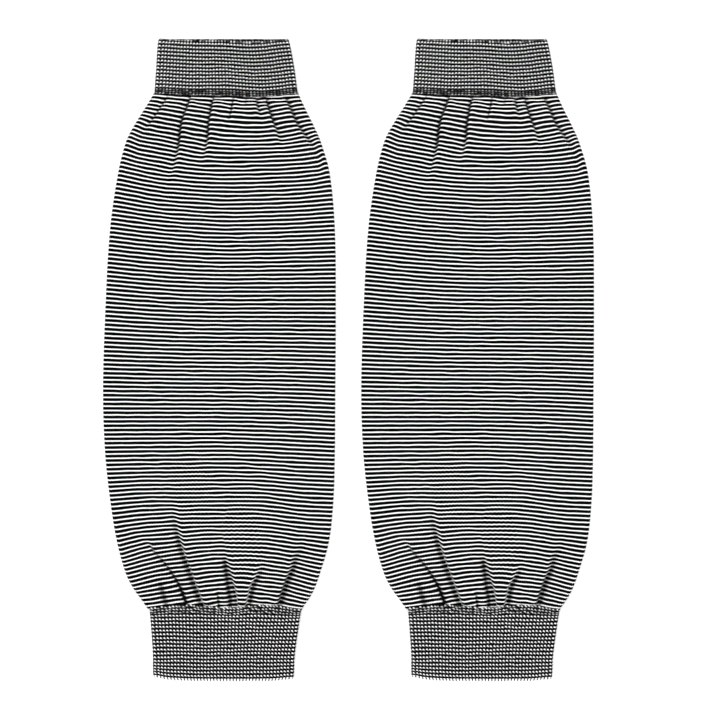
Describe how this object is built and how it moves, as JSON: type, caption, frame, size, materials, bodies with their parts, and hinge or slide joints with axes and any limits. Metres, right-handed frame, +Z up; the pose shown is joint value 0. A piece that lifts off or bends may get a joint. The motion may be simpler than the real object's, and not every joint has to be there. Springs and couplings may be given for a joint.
{
  "type": "pair of compression sleeves",
  "caption": "Pair of striped knitted tube sleeves, each a wide body gathered into a ribbed cuff at both ends, lying flat side by side.",
  "frame": {"origin": "on the surface that the pair lies on, under the middle of the pair's box", "axes": "+X across the pair to the right sleeve, +Y along the sleeves to their upper cuffs, +Z up from the surface"},
  "size_m": [0.319, 0.4169, 0.0059],
  "materials": {
    "upper_cuff_rib": "matt ribbed knit, single black and white rows, with a mixed grey band at its base",
    "body_knit": "matt plain knit, single black and white rows",
    "lower_cuff_rib": "matt ribbed knit, single black and white rows"
  },
  "bodies": {
    "root": {"left_upper_cuff": "upper_cuff_rib", "left_body": "body_knit", "left_lower_cuff": "lower_cuff_rib", "right_upper_cuff": "upper_cuff_rib", "right_body": "body_knit", "right_lower_cuff": "lower_cuff_rib"}
  },
  "joints": []
}
